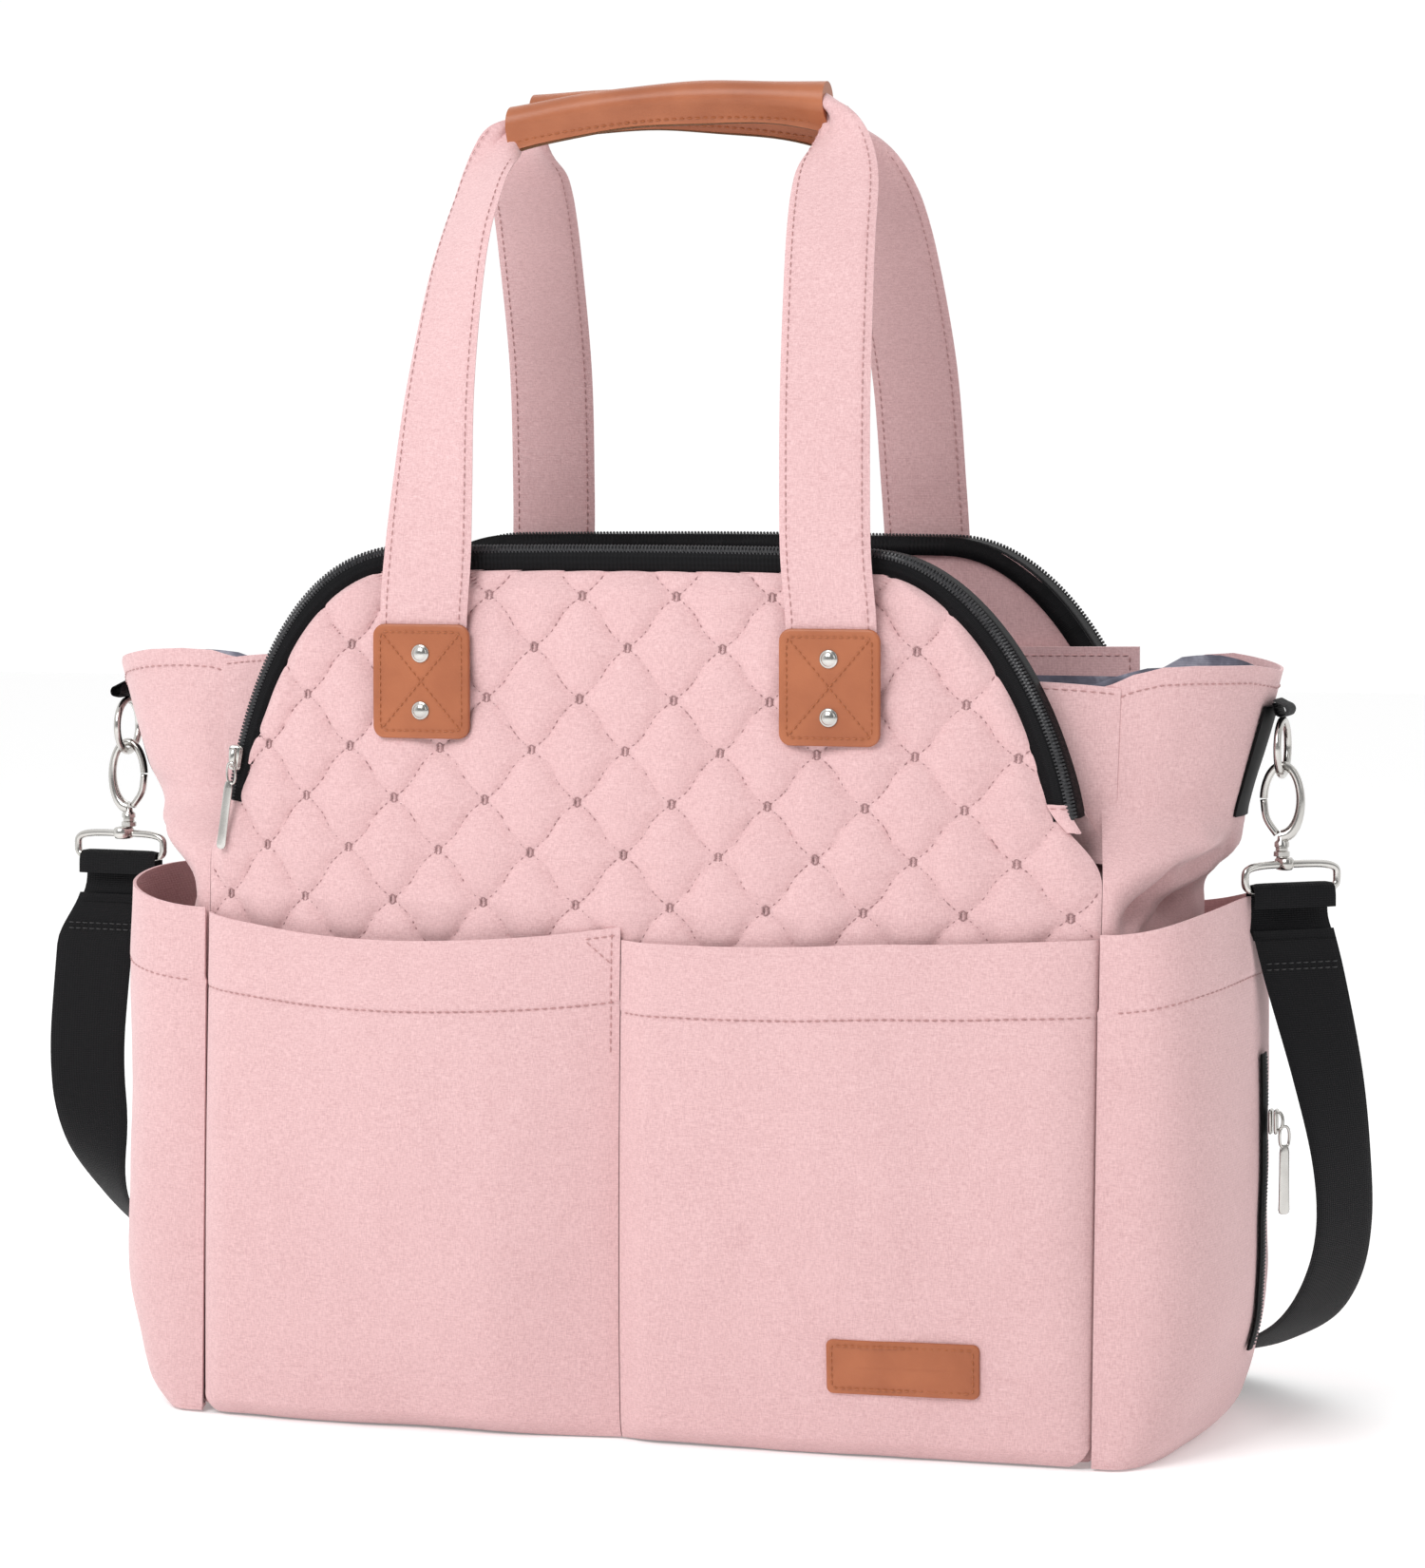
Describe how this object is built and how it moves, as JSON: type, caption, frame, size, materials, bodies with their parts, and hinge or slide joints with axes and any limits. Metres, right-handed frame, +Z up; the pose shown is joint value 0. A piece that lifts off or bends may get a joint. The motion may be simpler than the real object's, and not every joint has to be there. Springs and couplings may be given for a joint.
{
  "type": "diaper bag",
  "caption": "Quilted tote diaper bag with two zipped arch compartments, open middle, outer pockets, leather grips and a hooked shoulder strap.",
  "frame": {"origin": "centre of the bottom face, on the surface that the bag stands on", "axes": "+X to the right across the front, +Y towards the back, +Z up"},
  "size_m": [0.6062, 0.267, 0.5575],
  "materials": {
    "pink_fabric": "heathered woven polyester",
    "leather": "tan faux leather, satin",
    "zip_tape": "black woven tape",
    "zip_coil": "black nylon coil",
    "webbing": "black ribbed webbing",
    "nickel": "polished nickel plate",
    "lining": "grey patterned lining",
    "board": "stiffening board"
  },
  "bodies": {
    "bag": {"back_divider": "pink_fabric", "back_panel": "pink_fabric", "base_board": "board", "base_panel": "pink_fabric", "d_ring_tab_left": "webbing", "d_ring_tab_right": "webbing", "front_divider": "pink_fabric", "front_panel": "pink_fabric", "front_pocket_left": "pink_fabric", "front_pocket_right": "pink_fabric", "gusset_left": "pink_fabric", "gusset_right": "pink_fabric", "handle_patch_back_left": "leather", "handle_patch_back_right": "leather", "handle_patch_front_left": "leather", "handle_patch_front_right": "leather", "label_patch": "leather", "lining": "lining", "luggage_sleeve": "pink_fabric", "rim_band": "pink_fabric", "rivet_back_left_lower": "nickel", "rivet_back_left_upper": "nickel", "rivet_back_right_lower": "nickel", "rivet_back_right_upper": "nickel", "rivet_front_left_lower": "nickel", "rivet_front_left_upper": "nickel", "rivet_front_right_lower": "nickel", "rivet_front_right_upper": "nickel", "side_pocket_left": "pink_fabric", "side_pocket_right": "pink_fabric", "side_zip_tape": "zip_tape", "zip_coil_back": "zip_coil", "zip_coil_front": "zip_coil", "zip_tape_inner_back": "zip_tape", "zip_tape_inner_front": "zip_tape", "zip_tape_outer_back": "zip_tape", "zip_tape_outer_front": "zip_tape"},
    "handle_front": {"handle_front_left": "pink_fabric", "handle_front_right": "pink_fabric", "grip_front": "leather"},
    "handle_back": {"handle_back_left": "pink_fabric", "handle_back_right": "pink_fabric", "grip_back": "leather"},
    "strap": {"shoulder_strap": "webbing", "swivel_loop_left": "nickel", "swivel_loop_right": "nickel"},
    "adjuster": {"strap_adjuster": "nickel"},
    "hook_left": {"hook_left": "nickel"},
    "hook_right": {"hook_right": "nickel"},
    "gate_left": {"hook_gate_left": "nickel"},
    "gate_right": {"hook_gate_right": "nickel"},
    "ring_left": {"d_ring_left": "nickel"},
    "ring_right": {"d_ring_right": "nickel"},
    "slider_front": {"zip_slider_front": "nickel"},
    "puller_front": {"zip_puller_front": "nickel"},
    "slider_back": {"zip_slider_back": "nickel"},
    "puller_back": {"zip_puller_back": "nickel"},
    "slider_side": {"zip_slider_side": "nickel"},
    "puller_side": {"zip_puller_side": "nickel"}
  },
  "joints": [
    {"name": "handle_front_fold", "type": "hinge", "parent": "bag", "child": "handle_front", "pos_m": [0, -0.0825, 0.3355], "axis": [1, 0, 0], "range_deg": [0, 180]},
    {"name": "handle_back_fold", "type": "hinge", "parent": "bag", "child": "handle_back", "pos_m": [0, 0.0825, 0.3355], "axis": [-1, 0, 0], "range_deg": [0, 180]},
    {"name": "strap_swing", "type": "hinge", "parent": "bag", "child": "strap", "pos_m": [0, 0, 0.284], "axis": [1, 0, 0], "range_deg": [0, 100]},
    {"name": "adjuster_slide", "type": "slide", "parent": "strap", "child": "adjuster", "axis": [1, 0, 0], "range_m": [-0.015, 0.1]},
    {"name": "hook_swivel_left", "type": "hinge", "parent": "strap", "child": "hook_left", "pos_m": [-0.256, 0, 0.243], "axis": [0, 0, 1], "range_deg": [-20, 20]},
    {"name": "hook_gate_left_open", "type": "hinge", "parent": "hook_left", "child": "gate_left", "pos_m": [-0.2526, 0, 0.25], "axis": [0, -1, 0], "range_deg": [0, 25], "stiffness_Nm_per_rad": 0.02, "springref_deg": -11.46},
    {"name": "d_ring_swing_left", "type": "hinge", "parent": "bag", "child": "ring_left", "pos_m": [-0.256, 0, 0.2952], "axis": [0, 1, 0], "range_deg": [-2, 2]},
    {"name": "hook_swivel_right", "type": "hinge", "parent": "strap", "child": "hook_right", "pos_m": [0.256, 0, 0.243], "axis": [0, 0, 1], "range_deg": [-20, 20]},
    {"name": "hook_gate_right_open", "type": "hinge", "parent": "hook_right", "child": "gate_right", "pos_m": [0.2526, 0, 0.25], "axis": [0, 1, 0], "range_deg": [0, 25], "stiffness_Nm_per_rad": 0.02, "springref_deg": -11.46},
    {"name": "d_ring_swing_right", "type": "hinge", "parent": "bag", "child": "ring_right", "pos_m": [0.256, 0, 0.2952], "axis": [0, 1, 0], "range_deg": [-2, 2]},
    {"name": "zip_front_travel", "type": "slide", "parent": "bag", "child": "slider_front", "axis": [0.1859, 0, 0.9826], "range_m": [-0.018, 0.02]},
    {"name": "zip_front_puller", "type": "hinge", "parent": "slider_front", "child": "puller_front", "pos_m": [-0.1816, -0.07845, 0.274], "axis": [-1, 0, 0], "range_deg": [0, 150]},
    {"name": "zip_back_travel", "type": "slide", "parent": "bag", "child": "slider_back", "axis": [0.1859, 0, 0.9826], "range_m": [-0.018, 0.02]},
    {"name": "zip_back_puller", "type": "hinge", "parent": "slider_back", "child": "puller_back", "pos_m": [-0.1816, 0.08258, 0.277], "axis": [1, 0, 0], "range_deg": [0, 150]},
    {"name": "zip_side_travel", "type": "slide", "parent": "bag", "child": "slider_side", "axis": [0, 0, 1], "range_m": [-0.075, 0.018]},
    {"name": "zip_side_puller", "type": "hinge", "parent": "slider_side", "child": "puller_side", "pos_m": [0.2596, 0, 0.129], "axis": [0, -1, 0], "range_deg": [0, 120]}
  ]
}
